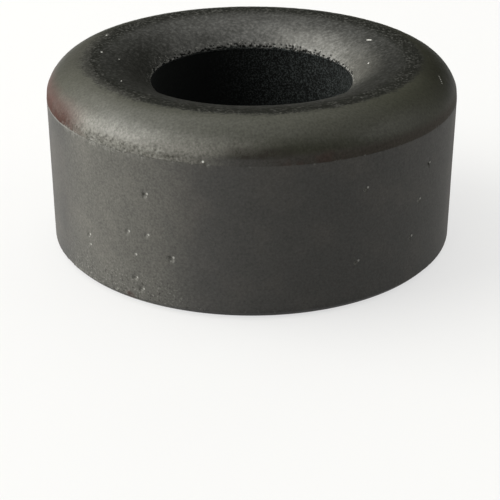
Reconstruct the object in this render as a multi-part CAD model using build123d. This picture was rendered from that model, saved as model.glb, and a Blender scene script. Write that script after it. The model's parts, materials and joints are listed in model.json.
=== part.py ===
from build123d import *
import os

# A ferrite ring core for quieting the noise on a cable: one ring, pressed from powder and sintered,
# with a straight outer wall, a straight bore, a crowned upper end and a flat lower end.
# It lies on its flat end. Z is the ring's axis, and the origin is on that axis at the level of
# the surface that the ring lies on. All sizes are in millimetres.

# The whole ring
outer_diameter = 28.5  # across the straight outer wall
bore_diameter = 14.0  # across the straight bore
height = 13.0  # from the flat lower end to the ridge of the crown

# The crowned upper end
shoulder_width = 2.75  # from the outer wall in to the ridge, the highest circle of the crown
shoulder_drop = 1.95  # from the ridge down to the top of the edge band
throat_drop = 1.75  # from the ridge down to the lip of the bore
band_rise = 0.55  # height of the edge band, the strip between the shoulder and the wall
band_lean = 0.05  # how far the edge band leans in over that height
lip_radius = 0.15  # rounding of the lip, where the throat runs into the bore

# The flat lower end
edge_break = 0.4  # the flat cut at the outer edge and at the edge of the bore

# Radii, and heights above the flat end
outer_radius = outer_diameter / 2
bore_radius = bore_diameter / 2
ridge_radius = outer_radius - shoulder_width
lip_height = height - throat_drop
band_top_height = height - shoulder_drop
wall_top_height = band_top_height - band_rise


def ring_section():
    """The ring's section on one side of its axis, with the flat end at height zero."""
    ridge = (ridge_radius, height)
    lip = (bore_radius, lip_height)
    band_top = (outer_radius - band_lean, band_top_height)
    wall_top = (outer_radius, wall_top_height)
    with BuildSketch() as section:
        with BuildLine():
            # The crowned end: both arcs leave the ridge level, so they run on from each other
            Line(wall_top, band_top)
            TangentArc(ridge, band_top, tangent=(1, 0))
            TangentArc(ridge, lip, tangent=(-1, 0))
            # The straight bore, the flat end and the straight outer wall
            Polyline(lip, (bore_radius, 0), (outer_radius, 0), wall_top)
        make_face()
        flat_end_corners = section.vertices().group_by(Axis.Y)[0]
        chamfer(flat_end_corners, edge_break)
        lip_corner = section.vertices().group_by(Axis.X)[0].sort_by(Axis.Y)[-1]
        fillet(lip_corner, lip_radius)
    return section.sketch


def ferrite_ring_core():
    """The section stood upright and turned about the ring's axis."""
    return revolve(Plane.XZ * ring_section(), Axis.Z)


os.makedirs("parts", exist_ok=True)
export_step(ferrite_ring_core(), "parts/ferrite_ring_core.step")
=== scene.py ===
import json
import math
import random

import bmesh
import bpy
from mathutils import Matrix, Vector, kdtree, noise


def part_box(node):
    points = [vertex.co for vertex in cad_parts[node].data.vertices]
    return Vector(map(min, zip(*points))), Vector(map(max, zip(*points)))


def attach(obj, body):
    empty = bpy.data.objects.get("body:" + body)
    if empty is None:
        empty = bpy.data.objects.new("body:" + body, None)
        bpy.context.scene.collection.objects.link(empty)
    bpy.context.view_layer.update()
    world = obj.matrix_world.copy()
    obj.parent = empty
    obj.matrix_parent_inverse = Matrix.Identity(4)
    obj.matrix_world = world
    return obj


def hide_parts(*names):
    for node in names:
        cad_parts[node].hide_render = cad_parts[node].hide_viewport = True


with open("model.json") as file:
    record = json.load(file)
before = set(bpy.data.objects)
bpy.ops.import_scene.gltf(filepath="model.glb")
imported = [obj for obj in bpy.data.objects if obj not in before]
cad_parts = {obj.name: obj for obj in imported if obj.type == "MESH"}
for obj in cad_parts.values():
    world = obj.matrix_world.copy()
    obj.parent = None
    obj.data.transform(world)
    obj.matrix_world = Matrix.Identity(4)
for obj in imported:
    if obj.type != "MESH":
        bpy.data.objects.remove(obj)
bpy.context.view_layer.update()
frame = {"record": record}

# The ring core: one ring of ferrite powder, pressed in a die and sintered hard as a ceramic.
# The crowned end is as the punch left it, dark and satin; the straight wall is paler and matt.
# Handling broke grains out of its edges and wall, rubbed it pale and left dust and stains on it. Some
# of its tones are painted light: highlights, sheen, shade and a red reflection.
mm = 0.001
mounts = {mount["name"]: mount for mount in frame["record"]["mounts"]}
wall = mounts["outer_wall"]
bore = mounts["cable_bore"]
outer_radius = wall["dims"]["r_mm"] * mm
bore_radius = bore["dims"]["r_mm"] * mm
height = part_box("ferrite_ring_core")[1].z
wall_length = wall["dims"]["length_mm"] * mm
edge_break = wall["pos_m"][2] - wall_length / 2
wall_top = edge_break + wall_length
band_rise = 0.55 * mm
band_lean = 0.05 * mm
band_top = wall_top + band_rise
shoulder_width = 2.75 * mm
ridge_radius = outer_radius - shoulder_width
throat_drop = 1.75 * mm
lip_height = height - throat_drop
edge_rounding = 0.05 * mm
lip_rounding = 0.12 * mm
lip_wear = 0.8 * mm
soft_reach = 0.35 * mm
turn_steps = 600
same_place = 0.001 * mm
on_edge = 0.01 * mm

ring = bmesh.new()


def arc_from(point, width, drop, way, steps):
    """Draws an arc that leaves a point of the section level and comes down by drop over width."""
    radius = (width * width + drop * drop) / (2 * drop)
    centre = point.co - Vector((0, 0, radius))
    made = bmesh.ops.spin(ring, geom=[point], cent=centre, axis=(0, 1, 0),
                          angle=way * 2 * math.atan(drop / width), steps=steps)
    return made["geom_last"][0]


def run_from(point, across, up, steps):
    """Draws a straight run from a point of the section."""
    for _ in range(steps):
        point = bmesh.ops.extrude_vert_indiv(ring, verts=[point])["verts"][0]
        bmesh.ops.translate(ring, verts=[point], vec=(across / steps, 0, up / steps))
    return point


# Its section, from the ridge out and down, under and up the bore, and then from the ridge in
ridge = bmesh.ops.create_vert(ring, co=(ridge_radius, 0, height))["vert"][0]
point = arc_from(ridge, shoulder_width - band_lean, height - band_top, way=1, steps=28)
point = run_from(point, band_lean, -band_rise, steps=4)
point = run_from(point, 0, -wall_length, steps=30)
point = run_from(point, -edge_break, -edge_break, steps=3)
point = run_from(point, bore_radius - outer_radius + 2 * edge_break, 0, steps=2)
point = run_from(point, -edge_break, edge_break, steps=2)
point = run_from(point, 0, lip_height - lip_wear - edge_break, steps=6)
run_from(point, 0, lip_wear, steps=8)
arc_from(ridge, ridge_radius - bore_radius, throat_drop, way=-1, steps=40)
bmesh.ops.remove_doubles(ring, verts=ring.verts[:], dist=same_place)
bmesh.ops.spin(ring, geom=ring.verts[:] + ring.edges[:], cent=(0, 0, 0), axis=(0, 0, 1),
               angle=2 * math.pi, steps=turn_steps, use_merge=True)
bmesh.ops.remove_doubles(ring, verts=ring.verts[:], dist=same_place)
bmesh.ops.recalc_face_normals(ring, faces=ring.faces[:])


def from_edge(co, radius, level):
    """How far a point lies from an edge that runs round the ring at one radius and height."""
    return math.hypot(co.to_2d().length - radius, co.z - level)


def round_off(radius, level, offset, segments):
    """Rounds an edge that runs round the ring."""
    edges = [edge for edge in ring.edges
             if all(from_edge(vert.co, radius, level) < on_edge for vert in edge.verts)]
    bmesh.ops.bevel(ring, geom=edges, offset=offset, segments=segments, profile=0.5, affect="EDGES",
                    material=-1)


round_off(outer_radius - band_lean, band_top, edge_rounding, segments=2)
round_off(outer_radius, wall_top, edge_rounding, segments=2)
round_off(outer_radius, edge_break, edge_rounding, segments=2)
round_off(outer_radius - edge_break, 0, edge_rounding, segments=2)
round_off(bore_radius, lip_height, lip_rounding, segments=3)

# The shoulder runs softly into the edge band
soft_edge = [vert for vert in ring.verts
             if from_edge(vert.co, outer_radius - band_lean, band_top) < soft_reach]
for _ in range(8):
    bmesh.ops.smooth_vert(ring, verts=soft_edge, factor=0.5,
                          use_axis_x=True, use_axis_y=True, use_axis_z=True)


def around(azimuth, radius, level):
    """A place on the ring. Azimuth is in degrees from the front, and grows to the right."""
    turn = math.radians(azimuth)
    return Vector((radius * math.sin(turn), -radius * math.cos(turn), level))


def azimuth_of(co):
    """The azimuth of a point of the ring."""
    return math.degrees(math.atan2(co.x, -co.y))


def refine(near, cuts):
    """Divides the skin in one zone, so that broken grains can be pressed into it."""
    zone = {vert for vert in ring.verts if near(vert.co)}
    edges = [edge for edge in ring.edges if zone.issuperset(edge.verts)]
    bmesh.ops.subdivide_edges(ring, edges=edges, cuts=cuts, use_grid_fill=True)


# The wear shows most at the left of its front, and the edges and pits there get a finer skin.
# Each pit of the wall has its azimuth, and its height and size in millimetres.
wall_pits = [
    (-28, 7.9, 0.24), (-28, 5.1, 0.16), (-34, 5.0, 0.18), (-49, 3.6, 0.20), (-32, 3.5, 0.14),
    (-30, 1.1, 0.20), (-21, 3.8, 0.26), (-32, 1.8, 0.20), (-49, 2.9, 0.16), (54, 8.2, 0.24),
    (50, 6.0, 0.18), (47, 3.6, 0.16), (28, 3.2, 0.20), (30, 8.2, 0.18),
]
refine(lambda co: from_edge(co, outer_radius, wall_top) < 0.9 * mm and -84 < azimuth_of(co) < 0,
       cuts=1)
refine(lambda co: from_edge(co, outer_radius, edge_break) < 0.5 * mm and -80 < azimuth_of(co) < 0,
       cuts=1)
for azimuth, level, size in wall_pits:
    pit = around(azimuth, outer_radius, level * mm)
    refine(lambda co: (co - pit).length < 0.6 * mm, cuts=2)
many_sided = [face for face in ring.faces if len(face.verts) > 4]
bmesh.ops.triangulate(ring, faces=many_sided)
ring.normal_update()
ring.verts.index_update()

skin = kdtree.KDTree(len(ring.verts))
for vert in ring.verts:
    skin.insert(vert.co, vert.index)
skin.balance()
worn = [0.0] * len(ring.verts)


def break_out(place, size, depth):
    """Marks a bowl of broken-out grains, with a ragged rim."""
    for co, index, distance in skin.find_range(place, size):
        ragged = 0.75 + 0.5 * noise.noise(co / (0.22 * mm))
        share = max(0.0, 1 - distance / (size * ragged))
        worn[index] = max(worn[index], depth * min(1.0, 1.6 * share))


def crumble(radius, level, reach, start, end, depth):
    """Breaks single grains out of the skin along part of an edge, most of all half way along."""
    for vert in ring.verts:
        away = from_edge(vert.co, radius, level) / reach
        along = (azimuth_of(vert.co) - start) / (end - start)
        if away < 1 and 0 < along < 1:
            grains = noise.noise(vert.co / (0.16 * mm)) + 0.7 * noise.noise(vert.co / (0.45 * mm))
            loss = depth * math.sin(math.pi * along) * (1 - away * away) * (grains + 0.25)
            worn[vert.index] = max(worn[vert.index], loss)


draw = random.Random(11)


def chip_edge(radius, level, count, middle, spread, sizes, deep):
    """Chips one edge of the ring, most of all about one azimuth."""
    for _ in range(count):
        azimuth = draw.gauss(middle, spread)
        size = draw.uniform(*sizes) * mm
        lift = draw.uniform(-0.06, 0.06) * mm
        break_out(around(azimuth, radius, level + lift), size, deep * size)


# Along the wall's upper edge, the edge band and the wall's lower edge
crumbs = 0.34 * mm
crumble(outer_radius, wall_top, crumbs, start=-70, end=-24, depth=0.08 * mm)
crumble(outer_radius - band_lean, band_top, crumbs, start=-62, end=-18, depth=0.05 * mm)
crumble(outer_radius, edge_break, crumbs, start=-70, end=-18, depth=0.08 * mm)
chip_edge(outer_radius, wall_top, count=14, middle=-44, spread=10, sizes=(0.10, 0.18), deep=0.35)
chip_edge(outer_radius, wall_top, count=120, middle=0, spread=120, sizes=(0.08, 0.15), deep=0.2)
chip_edge(outer_radius, edge_break, count=20, middle=-45, spread=14, sizes=(0.12, 0.2), deep=0.35)
chip_edge(outer_radius, edge_break, count=120, middle=0, spread=120, sizes=(0.08, 0.18), deep=0.25)

# Along the lip, and a little above it on the far side
chip_edge(bore_radius, lip_height, count=45, middle=165, spread=35, sizes=(0.08, 0.18), deep=0.45)
chip_edge(bore_radius + 0.12 * mm, lip_height + 0.10 * mm,
          count=130, middle=180, spread=42, sizes=(0.08, 0.17), deep=0.6)
chip_edge(bore_radius + 0.28 * mm, lip_height + 0.24 * mm,
          count=60, middle=170, spread=35, sizes=(0.06, 0.13), deep=0.6)
chip_edge(bore_radius, lip_height, count=110, middle=0, spread=120, sizes=(0.08, 0.16), deep=0.35)

# In the wall: the pits that show at its front, and others like them at its back
back_pits = 60
for azimuth, level, size in wall_pits:
    break_out(around(azimuth, outer_radius, level * mm), 1.25 * size * mm, 0.5 * size * mm)
for _ in range(back_pits):
    size = draw.uniform(0.14, 0.24) * mm
    level = draw.uniform(edge_break, wall_top)
    break_out(around(draw.uniform(75, 285), outer_radius, level), size, 0.3 * size)

# Powder grain stands coarse on its throat, ridge and far side, and fine on its rubbed front shoulder
waviness = 0.012 * mm
coarse_grit = 0.024 * mm
fine_grit = 0.006 * mm
full_chip = 0.06 * mm
chipped = ring.verts.layers.float.new("chipped")
for vert in ring.verts:
    co = vert.co
    loss = worn[vert.index] + waviness * (1.0 + 0.5 * noise.noise(co / (2.5 * mm)))
    if co.z > lip_height:
        grit_end = ridge_radius + 0.3 * mm + 0.25 * mm * noise.noise(co / (0.7 * mm))
        rubbed = co.to_2d().length > grit_end and co.y < -3 * mm
        grit = fine_grit if rubbed else coarse_grit
        grains = noise.noise(co / (0.2 * mm)) + 0.5 * noise.noise(co / (0.55 * mm))
        loss += grit * max(0.0, 0.5 + 0.5 * grains)
    vert[chipped] = worn[vert.index] / full_chip
    if co.z > edge_break / 2:
        vert.co = co - vert.normal * loss
for face in ring.faces:
    face.smooth = True
ring_mesh = bpy.data.meshes.new("ring_core")
ring.to_mesh(ring_mesh)
ring.free()
ring_core = bpy.data.objects.new("ring_core", ring_mesh)
bpy.context.scene.collection.objects.link(ring_core)


class Wire:
    """A socket of the material being wired. Sums and products of wires add their own Math nodes."""
    tree = None

    def __init__(self, socket):
        self.socket = socket

    @classmethod
    def node(cls, kind, settings, sockets, out=0):
        """Adds a node: its settings first, then the values or wires of its sockets."""
        made = cls.tree.nodes.new(kind)
        for name, value in settings.items():
            setattr(made, name, value)
        for name, value in sockets.items():
            if isinstance(value, Wire):
                cls.tree.links.new(value.socket, made.inputs[name])
            else:
                made.inputs[name].default_value = value
        return cls(made.outputs[out]) if made.outputs else None

    def math(self, operation, first, second):
        return self.node("ShaderNodeMath", {"operation": operation}, {0: first, 1: second})

    def __add__(self, other):
        return self.math("ADD", self, other)

    def __radd__(self, other):
        return self.math("ADD", other, self)

    def __sub__(self, other):
        return self.math("SUBTRACT", self, other)

    def __rsub__(self, other):
        return self.math("SUBTRACT", other, self)

    def __mul__(self, other):
        return self.math("MULTIPLY", self, other)

    def __rmul__(self, other):
        return self.math("MULTIPLY", other, self)

    def rise(self, start, end):
        """Goes smoothly from 0 to 1 as the value goes from start to end."""
        return self.node("ShaderNodeMapRange", {"interpolation_type": "SMOOTHSTEP"},
                         {"Value": self, "From Min": start, "From Max": end})

    def mix(self, first, second):
        """A colour between two colours, by this value as the share of the second."""
        return self.node("ShaderNodeMix", {"data_type": "RGBA"}, {0: self, 6: first, 7: second}, out=2)


ferrite = bpy.data.materials.new("sintered_ferrite")
ferrite.use_nodes = True
ferrite.node_tree.nodes.clear()
Wire.tree = ferrite.node_tree

# Places on the ring in millimetres: up from its flat end, and out from its axis
place = Wire.node("ShaderNodeTexCoord", {}, {}, out="Object")
place = Wire.node("ShaderNodeVectorMath", {"operation": "SCALE"}, {0: place, "Scale": 1 / mm})
up = Wire.node("ShaderNodeSeparateXYZ", {}, {0: place}, out="Z")
flat = Wire.node("ShaderNodeVectorMath", {"operation": "MULTIPLY"}, {0: place, 1: (1, 1, 0)})
out = Wire.node("ShaderNodeVectorMath", {"operation": "LENGTH"}, {0: flat}, out="Value")
facing = Wire.node("ShaderNodeVectorMath", {"operation": "NORMALIZE"}, {0: flat})
lip_out = bore_radius / mm
wall_out = outer_radius / mm
ridge_out = ridge_radius / mm
wall_edge = wall_top / mm
band_edge = band_top / mm


def speckle(scale, detail=2.0):
    """Even noise about 0.5, with so many grains to the millimetre."""
    return Wire.node("ShaderNodeTexNoise", {}, {"Vector": place, "Scale": scale, "Detail": detail})


def spot(azimuth, radius, level, size):
    """A soft round patch of the skin about one place, 1 in its middle."""
    centre = around(azimuth, radius, level)
    away = Wire.node("ShaderNodeVectorMath", {"operation": "DISTANCE"}, {0: place, 1: centre},
                     out="Value")
    return 1 - away.rise(0.4 * size, size)


def toward(azimuth, full, none):
    """1 up to full degrees round the ring from an azimuth, and 0 from none degrees on."""
    side = around(azimuth, 1, 0)
    turned = Wire.node("ShaderNodeVectorMath", {"operation": "DOT_PRODUCT"}, {0: facing, 1: side},
                       out="Value")
    return turned.rise(math.cos(math.radians(none)), math.cos(math.radians(full)))


grain = speckle(7.0)
fine_grain = speckle(15.0)
coarse_grain = speckle(4.5)
cloud = speckle(1.2, 3.0)
mottle = speckle(0.35, 3.0)

# Zones of its skin: wall, edge band, satin shoulder, granular throat and bore
ragged = (cloud - 0.5) * 0.12
outside = out.rise(ridge_out + 0.5, ridge_out + 1.5)
above_wall = (up + ragged * 0.4).rise(wall_edge - 0.01, wall_edge + 0.03)
above_band = (up + ragged + (grain - 0.5) * 0.25).rise(band_edge - 0.15, band_edge + 0.35)
lip_notches = 0.14 * coarse_grain.rise(0.5, 0.65)
in_bore = 1 - (out - lip_notches).rise(lip_out + 0.02, lip_out + 0.08)
on_wall = outside * (1 - above_wall)
band = outside * above_wall * (1 - above_band)
upper_half = up.rise(5.0, 6.0)
crown = upper_half * (1 - in_bore) * (1 - outside * (1 - above_band))
shoulder = crown * (out + ragged * 4 + (grain - 0.5) * 0.8).rise(ridge_out, ridge_out + 0.55)
throat = crown - shoulder
ridge_top = throat * out.rise(ridge_out - 1.5, ridge_out - 0.5)
specks = 0.5 * grain + 0.5 * coarse_grain
chips = Wire.node("ShaderNodeAttribute", {"attribute_name": "chipped"}, {}, out="Fac")
chips = chips.rise(0.05, 0.8)

wall_grey = (0.077, 0.0757, 0.0735, 1)
wall_brown = (0.165, 0.145, 0.126, 1)
crown_black = (0.016, 0.0165, 0.011, 1)
shoulder_sheen_olive = (0.034, 0.035, 0.025, 1)
throat_black = (0.005, 0.0055, 0.004, 1)
grain_grey = (0.060, 0.060, 0.056, 1)
band_brown_shade = (0.054, 0.048, 0.041, 1)
bore_shade_black = (0.005, 0.006, 0.006, 1)
bore_lit_grain = (0.055, 0.063, 0.064, 1)
rubbed_and_lit_grey = (0.155, 0.152, 0.138, 1)
patch_red = (0.064, 0.031, 0.025, 1)
speck_and_shade_dark = (0.026, 0.023, 0.019, 1)
fresh_and_lit_grey = (0.26, 0.26, 0.245, 1)
dust_white = (0.75, 0.75, 0.72, 1)

# Its colours: grey wall, brown edge band, olive shoulder, black throat and bore with grey grains; some
# of them are painted light and shade, as said at each
colour = crown.mix(wall_grey, crown_black)
# A paler, browner wall towards the back: painted rim light, mostly at the right edge. The scattered
# brownish patches are its own.
warm_and_rim_light = 0.35 * toward(170, 60, 125) * (0.7 + 0.6 * mottle) + 0.12 * mottle.rise(0.45, 0.7)
colour = (on_wall * warm_and_rim_light).mix(colour, wall_brown)
# The wall darker at its right front: painted shade.
colour = (on_wall * 0.2 * toward(38, 24, 54)).mix(colour, crown_black)
# The edge band brown and dark at the right: a brown tint, and painted shade there.
low = 1 - (up + ragged).rise(band_edge - 0.2, band_edge + 0.7)
brown = outside * above_wall * low * toward(62, 30, 72)
colour = brown.mix(colour, band_brown_shade)
# Olive-grey on the front of the shoulder only: painted sheen.
colour = (shoulder * toward(-5, 60, 85) * 0.8).mix(colour, shoulder_sheen_olive)
colour = (throat * 0.9).mix(colour, throat_black)
# Grey grains over the throat and ridge, and more on the far ridge, where they are painted glints of
# its grain in the light.
far_ridge_glints = ridge_top * toward(180, 40, 80)
grains = 0.3 * (throat + ridge_top + far_ridge_glints) * specks.rise(0.51, 0.62)
colour = grains.mix(colour, grain_grey)
# The bore's near-black: its dark ferrite, darkened further as painted shade inside the bore.
colour = in_bore.mix(colour, bore_shade_black)
# Grey grains only on the bore's right side, where the window light falls in: painted light on its
# grain.
bore_specks = 0.5 * grain + 0.5 * fine_grain
grains = 0.65 * in_bore * bore_specks.rise(0.46, 0.62) * toward(110, 50, 105)
colour = grains.mix(colour, bore_lit_grain)

# Where it is paler, partly rubbed by handling and partly painted highlight where the window light
# falls: shoulder, edge band and wall at the left of its front, its left ridge, and its throat at the
# back right
low_rub_and_highlight = out.rise(ridge_out + 1.5, ridge_out + 2.7)
low_rub_and_highlight = low_rub_and_highlight * low_rub_and_highlight * toward(-33, 14, 44)
rub_and_highlight = shoulder * low_rub_and_highlight
rub_and_highlight = rub_and_highlight + crown * 0.15 * toward(-78, 24, 45) * out.rise(ridge_out - 0.6, ridge_out + 0.1)
rub_and_highlight = rub_and_highlight + throat * 0.4 * toward(120, 25, 60) * (1 - out.rise(lip_out + 0.3, lip_out + 2.6))
rub_and_highlight = rub_and_highlight + band * toward(-38, 16, 36) + on_wall * 0.58 * toward(-38, 5, 26)
rub_and_highlight = rub_and_highlight * (0.4 + 0.6 * (cloud + grain))
colour = rub_and_highlight.mix(colour, rubbed_and_lit_grey)
crumbly = band * toward(-40, 16, 34)
colour = (crumbly * coarse_grain.rise(0.5, 0.66) * 0.45).mix(colour, fresh_and_lit_grey)
colour = (crumbly * (1 - coarse_grain.rise(0.32, 0.46)) * 0.5).mix(colour, speck_and_shade_dark)

# Red-brown patches on the edge band, painted shade along the band's front, a painted highlight on the
# wall's top edge, and specks at the wall's foot
# At the left of the edge band a painted reflection of something red, and a faint red-brown patch at
# the band's front right.
red_patches = 1 - (up + ragged * 4).rise(band_edge + 0.25, band_edge + 1.35)
red_patches = red_patches * toward(-72, 9, 26) * outside * above_wall
red_patches = red_patches * (0.8 + 0.2 * cloud.rise(0.3, 0.6))
red_patches = red_patches + 0.3 * toward(15, 4, 10) * band * cloud.rise(0.4, 0.6)
colour = red_patches.mix(colour, patch_red)
# A dark strip along the edge band's front: painted shade.
band_shade = up.rise(band_edge - 0.2, band_edge + 0.05) * (1 - up.rise(band_edge + 0.35, band_edge + 0.7))
band_shade = band_shade * toward(2, 5, 10) * outside
band_shade = band_shade * (0.4 + 0.6 * (cloud + grain - 0.5).rise(0.35, 0.6))
colour = (band_shade * 0.85).mix(colour, speck_and_shade_dark)
# A pale line on the wall's top edge at the left: painted highlight.
edge_highlight = up.rise(wall_edge - 0.14, wall_edge - 0.04) * on_wall * toward(-64, 8, 18)
colour = (edge_highlight * 0.6).mix(colour, fresh_and_lit_grey)
foot = on_wall * toward(-40, 14, 26) * (1 - up.rise(0.7, 3.0))
colour = (foot * grain.rise(0.6, 0.68) * 0.5).mix(colour, fresh_and_lit_grey)
colour = (foot * (1 - grain.rise(0.3, 0.38)) * 0.7).mix(colour, speck_and_shade_dark)
# A patch stained red-brown at the wall's foot, left of its front.
colour = (0.7 * spot(-34, wall_out, 0.3, 0.55)).mix(colour, patch_red)

# Grain, then what shows where grains broke out, painted shade in the lip's notches and a painted
# highlight along the lip
shade = 0.1 + 1.8 * (grain * 0.45 + fine_grain * 0.2 + coarse_grain * 0.2 + mottle * 0.15)
shade = Wire.node("ShaderNodeCombineColor", {}, {0: shade, 1: shade, 2: shade})
colour = Wire.node("ShaderNodeMix", {"data_type": "RGBA", "blend_type": "MULTIPLY"},
                   {0: 1.0, 6: colour, 7: shade}, out=2)
at_lip = 1 - out.rise(lip_out + 0.3, lip_out + 0.8)
colour = (chips * (1 - at_lip) * fine_grain.rise(0.3, 0.65) * 0.8).mix(colour, fresh_and_lit_grey)
# Chips at the lip take the bore's near-black: painted shade in the notches.
colour = (chips * at_lip * 0.9).mix(colour, bore_shade_black)
colour = (at_lip * throat * (1 - chips) * grain.rise(0.6, 0.72) * 0.5).mix(colour, fresh_and_lit_grey)
# A pale line along the lip: painted highlight, strongest on the right where the window light falls,
# and faint at the left.
lip_highlight_line = (1 - out.rise(lip_out + 0.08, lip_out + 0.14)) * (1 - in_bore) * (1 - chips)
lip_highlight_line = lip_highlight_line * (0.7 * toward(98, 10, 22) + 0.25 * toward(-95, 25, 45))
colour = lip_highlight_line.mix(colour, fresh_and_lit_grey)

# Dust: a crumb beside each pit, flecks by azimuth, radius, height and size, and two short strokes
flecks = [
    (95, 8.2, 12.1, 0.09), (-113, 11.4, 13.0, 0.09), (-94, 10.5, 12.9, 0.09),
    (-91, 9.2, 12.6, 0.08), (-59, 10.0, 12.8, 0.08), (-12, 14.2, 10.7, 0.10),
]
dust = 0
for azimuth, level, size in wall_pits:
    dust = dust + 0.45 * spot(azimuth + 0.7, wall_out, level + 0.5 * size, 0.11)
for azimuth, radius, level, size in flecks:
    dust = dust + spot(azimuth, radius, level, size)
for share in (0.0, 0.25, 0.5, 0.75, 1.0):
    dust = dust + spot(116.0 + 1.6 * share, 9.56 - 0.15 * share, 12.71 - 0.05 * share, 0.08)
    dust = dust + 0.6 * spot(74.8 - 2.9 * share, 13.02 + 0.33 * share, 12.56 - 0.24 * share, 0.06)
colour = dust.mix(colour, dust_white)

# Its finish: matt wall, satin shoulder, patchy gloss in the throat, and less on what broke, on the
# red-brown patches, on the dark band at the right and where the band's shade is painted
right_side = toward(100, 40, 75)
dulled = toward(-66, 12, 28) * out.rise(ridge_out + 1.1, ridge_out + 2.1)
roughness = 0.74 + 0.1 * (cloud - 0.5) + 0.2 * chips - crown * 0.2 + 0.2 * in_bore
patchy = coarse_grain.rise(0.3, 0.7) * 0.5 + cloud.rise(0.3, 0.7) * 0.3
gloss = throat * (0.3 + 0.6 * patchy) * (1 - 0.9 * ridge_top) * (1 - 0.3 * toward(-85, 30, 60))
satin = shoulder * (0.12 + 0.24 * grain + 0.1 * patchy)
satin = satin * (1 - 0.6 * dulled) * (1 - 0.85 * right_side)
gloss = gloss + satin + on_wall * 0.13
gloss = gloss * (1 - chips) * (1 - 0.6 * red_patches) * (1 - 0.7 * brown) * (1 - 0.6 * band_shade)
relief = (0.6 * grain + 0.4 * fine_grain) * (0.3 + 0.7 * throat + 0.7 * in_bore)
relief = relief + 1.5 * crumbly * coarse_grain
normal = Wire.node("ShaderNodeBump", {}, {"Strength": 0.6, "Distance": 0.05 * mm, "Height": relief})
surface = Wire.node("ShaderNodeBsdfPrincipled", {}, {
    "Base Color": colour, "Roughness": roughness, "Coat Weight": gloss, "Normal": normal,
    "Specular IOR Level": 0.1, "Coat Roughness": 0.36, "Coat IOR": 1.9})
Wire.node("ShaderNodeOutputMaterial", {}, {"Surface": surface})
ring_mesh.materials.append(ferrite)
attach(ring_core, "root")
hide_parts("ferrite_ring_core")

# The floor: a wide pale sheet that the ring lies on. It shows white round the ring's soft shadow,
# and it throws little light back up, so that the wall isn't lit from below.
floor_reach = 3.0
floor_drop = 0.02 * mm
floor_shape = bmesh.new()
bmesh.ops.create_grid(floor_shape, x_segments=1, y_segments=1, size=floor_reach)
bmesh.ops.translate(floor_shape, verts=floor_shape.verts[:], vec=(0, 0, -floor_drop))
floor_mesh = bpy.data.meshes.new("floor")
floor_shape.to_mesh(floor_mesh)
floor_shape.free()
floor = bpy.data.objects.new("floor", floor_mesh)
bpy.context.scene.collection.objects.link(floor)
paper = bpy.data.materials.new("pale_paper")
paper.use_nodes = True
paper.node_tree.nodes.clear()
Wire.tree = paper.node_tree
seen = Wire.node("ShaderNodeLightPath", {}, {}, out="Is Camera Ray")
seen = seen + Wire.node("ShaderNodeLightPath", {}, {}, out="Is Glossy Ray")
seen = seen + Wire.node("ShaderNodeLightPath", {}, {}, out="Is Transmission Ray")
white = Wire.node("ShaderNodeEmission", {}, {"Color": (1, 1, 1, 1), "Strength": 1.0})
pale = Wire.node("ShaderNodeBsdfDiffuse", {}, {"Color": (0.62, 0.62, 0.62, 1)})
dull = Wire.node("ShaderNodeBsdfDiffuse", {}, {"Color": (0.25, 0.25, 0.25, 1)})
bright = Wire.node("ShaderNodeMixShader", {}, {0: 0.65, 1: pale, 2: white})
sheet = Wire.node("ShaderNodeMixShader", {}, {0: seen, 1: dull, 2: bright})
Wire.node("ShaderNodeOutputMaterial", {}, {"Surface": sheet})
floor_mesh.materials.append(paper)

# The light: a broad soft window at the left, and the pale walls and ceiling of a small room, each
# a wide soft lamp of its own, with a very dim even room behind them all.
ring_middle = Vector((0, 0, height / 2))
lamp_distance = 0.5
lamp_colour = (1.0, 0.99, 0.93)
room_glow = 0.01


def lamp(name, azimuth, elevation, size, power):
    """A square soft lamp that looks at the middle of the ring."""
    data = bpy.data.lights.new(name, "AREA")
    data.size = size
    data.energy = power
    data.color = lamp_colour
    made = bpy.data.objects.new(name, data)
    level = math.radians(elevation)
    made.location = ring_middle + around(azimuth, lamp_distance * math.cos(level),
                                         lamp_distance * math.sin(level))
    made.rotation_euler = (ring_middle - made.location).to_track_quat("-Z", "Y").to_euler()
    bpy.context.scene.collection.objects.link(made)
    return made


lamp("window", azimuth=-88, elevation=22, size=0.55, power=4.10)
lamp("left_wall", azimuth=-105, elevation=40, size=0.55, power=1.45)
lamp("ceiling", azimuth=-60, elevation=75, size=0.50, power=0.72)
lamp("overhead", azimuth=0, elevation=89, size=0.90, power=1.43)
lamp("right_wall", azimuth=95, elevation=18, size=0.45, power=0.98)
lamp("back_wall", azimuth=-165, elevation=52, size=0.40, power=0.30)
lamp("front", azimuth=-40, elevation=12, size=0.40, power=0.20)
behind = lamp("behind", azimuth=172, elevation=18, size=0.50, power=1.20)
behind.visible_glossy = False
room = bpy.data.worlds.new("room")
room.use_nodes = True
room.node_tree.nodes["Background"].inputs["Color"].default_value = (1, 1, 1, 1)
room.node_tree.nodes["Background"].inputs["Strength"].default_value = room_glow
bpy.context.scene.world = room
bpy.context.scene.view_settings.view_transform = "Standard"

# The camera: close in front of the ring and a little above it, so that the crown and bore show.
picture_size = 500
ring_column = 251.8
ring_row = 141.5
camera_elevation = math.radians(21.65)
camera_distance = 94.4 * mm
lens = 94.87
sensor = 36.0
camera_data = bpy.data.cameras.new("camera")
camera_data.sensor_width = sensor
camera_data.lens = lens
camera_data.clip_start = 0.005
camera = bpy.data.objects.new("camera", camera_data)
camera.location = ring_middle + around(0, camera_distance * math.cos(camera_elevation),
                                       camera_distance * math.sin(camera_elevation))
pixel = sensor / picture_size
look_down = camera_elevation + math.atan((picture_size / 2 - ring_row) * pixel / lens)
look_left = math.atan((ring_column - picture_size / 2) * pixel / lens)
camera.rotation_euler = (math.pi / 2 - look_down, 0, look_left)
bpy.context.scene.collection.objects.link(camera)
bpy.context.scene.camera = camera
